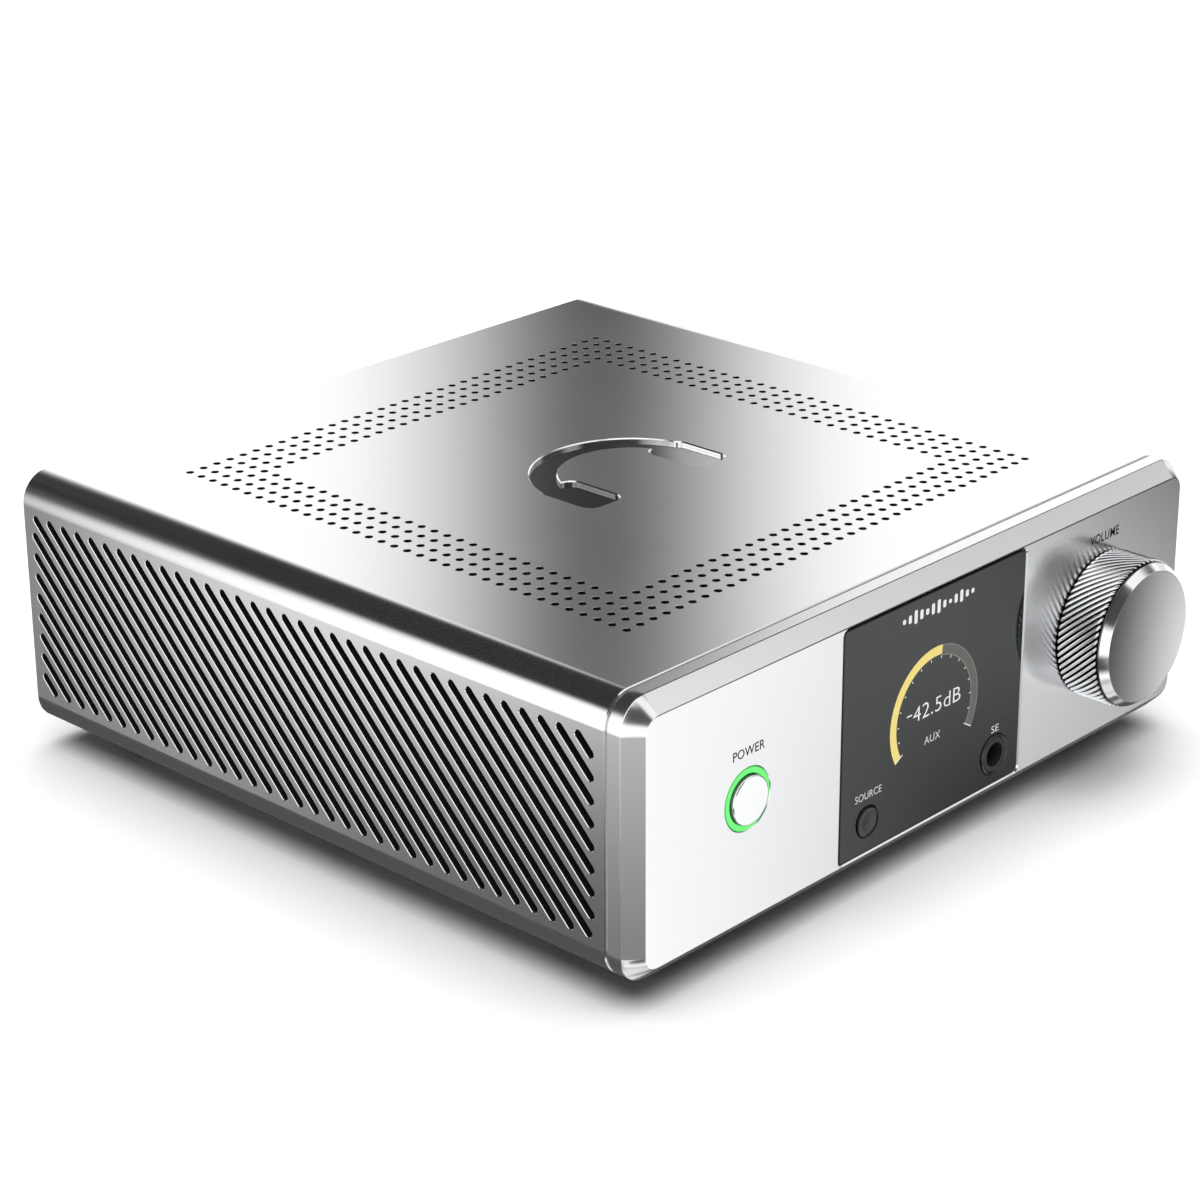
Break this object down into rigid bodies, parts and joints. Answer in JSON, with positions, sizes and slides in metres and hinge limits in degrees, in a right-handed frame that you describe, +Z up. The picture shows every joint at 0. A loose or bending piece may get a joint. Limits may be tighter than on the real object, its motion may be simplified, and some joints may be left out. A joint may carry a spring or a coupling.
{
  "type": "headphone amplifier",
  "caption": "Half-width desktop headphone amplifier in satin metal with bevelled front, glass display, knurled volume knob, vented top and slotted sides.",
  "frame": {"origin": "middle of the footprint rectangle on the table, under the feet", "axes": "+Z up, the front face with the display looks along -Y, +X is to the right seen from the front"},
  "size_m": [0.215, 0.2382, 0.076],
  "materials": {
    "satin_aluminium": "fine bead-blasted and clear anodised",
    "polished_trim": "polished",
    "knob_metal": "turned and knurled, polished bevel",
    "emblem_polish": "dark mirror",
    "plate_steel": "zinc plated sheet",
    "screw_black": "black oxide",
    "screw_zinc": "bright zinc",
    "foot_black": "fine moulded grain",
    "pad_rubber": "matte",
    "window_glass": "deep gloss, smoked",
    "display_panel": "back-lit display",
    "light_green": "translucent, lit from behind",
    "gloss_black": "gloss",
    "moulded_black": "moulded",
    "moulded_blue": "moulded",
    "board_green": "solder mask",
    "brass_nickel": "bright plated",
    "gold_plate": "polished",
    "ribbon_grey": "flat cable",
    "copper_wound": "varnished winding",
    "can_sleeve": "shrink sleeve",
    "relay_white": "moulded",
    "heatsink_black": "black anodised",
    "wire_brown": "insulation",
    "wire_yellow": "insulation",
    "led_white": "clear"
  },
  "bodies": {
    "chassis": {"front_panel": "satin_aluminium", "case_trim": "polished_trim", "case_sleeve": "satin_aluminium", "top_emblem": "emblem_polish", "chassis_plate": "plate_steel", "chassis_screws": "screw_black", "rear_panel": "satin_aluminium", "rear_screws": "screw_black", "feet": "foot_black", "foot_pads": "pad_rubber", "foot_screws": "screw_zinc", "display_window": "window_glass", "display_module": "display_panel", "power_light_ring": "light_green", "power_switch": "moulded_black", "power_leds": "led_white", "source_switch": "moulded_black", "headphone_jack": "moulded_black", "jack_bezel": "gloss_black", "jack_board": "board_green", "encoder_bush": "brass_nickel", "encoder_base": "moulded_blue", "encoder_nut": "screw_zinc", "encoder_washer": "screw_zinc", "front_frame": "plate_steel", "front_board": "board_green", "front_spacers": "brass_nickel", "front_screws": "screw_zinc", "front_ribbon": "ribbon_grey", "main_board": "board_green", "supply_board": "board_green", "board_standoffs": "brass_nickel", "board_screws": "screw_zinc", "toroid_core": "copper_wound", "toroid_pads": "pad_rubber", "toroid_washer": "plate_steel", "toroid_bolt": "screw_zinc", "filter_capacitors": "can_sleeve", "signal_capacitors": "can_sleeve", "relays": "relay_white", "audio_chips": "moulded_black", "heatsink": "heatsink_black", "output_transistors": "moulded_black", "supply_wires": "wire_yellow", "mains_wires": "wire_brown", "mains_inlet": "moulded_black", "inlet_pins": "brass_nickel", "switch_housing": "moulded_black", "phono_housings": "moulded_black", "phono_shells": "gold_plate", "optical_socket": "moulded_black"},
    "volume": {"volume_knob": "knob_metal", "knob_grub_screw": "screw_black", "encoder_shaft": "brass_nickel"},
    "power": {"power_button": "knob_metal", "power_plunger": "moulded_black"},
    "source": {"source_button": "gloss_black", "source_plunger": "moulded_black"},
    "mains_rocker": {"rocker": "gloss_black"},
    "shutter": {"optical_shutter": "gloss_black"}
  },
  "joints": [
    {"name": "volume_turn", "type": "hinge", "parent": "chassis", "child": "volume", "pos_m": [0.0694, -0.10445, 0.041], "axis": [0, 1, 0], "continuous": true},
    {"name": "power_press", "type": "slide", "parent": "chassis", "child": "power", "axis": [0, 1, 0], "range_m": [0, 0.0006]},
    {"name": "source_press", "type": "slide", "parent": "chassis", "child": "source", "axis": [0, 1, 0], "range_m": [0, 0.0004]},
    {"name": "mains_rock", "type": "hinge", "parent": "chassis", "child": "mains_rocker", "pos_m": [-0.046, 0.10745, 0.041], "axis": [1, 0, 0], "range_deg": [-18, 0]},
    {"name": "shutter_swing", "type": "hinge", "parent": "chassis", "child": "shutter", "pos_m": [0.017, 0.10805, 0.0299], "axis": [-1, 0, 0], "range_deg": [0, 80]}
  ]
}
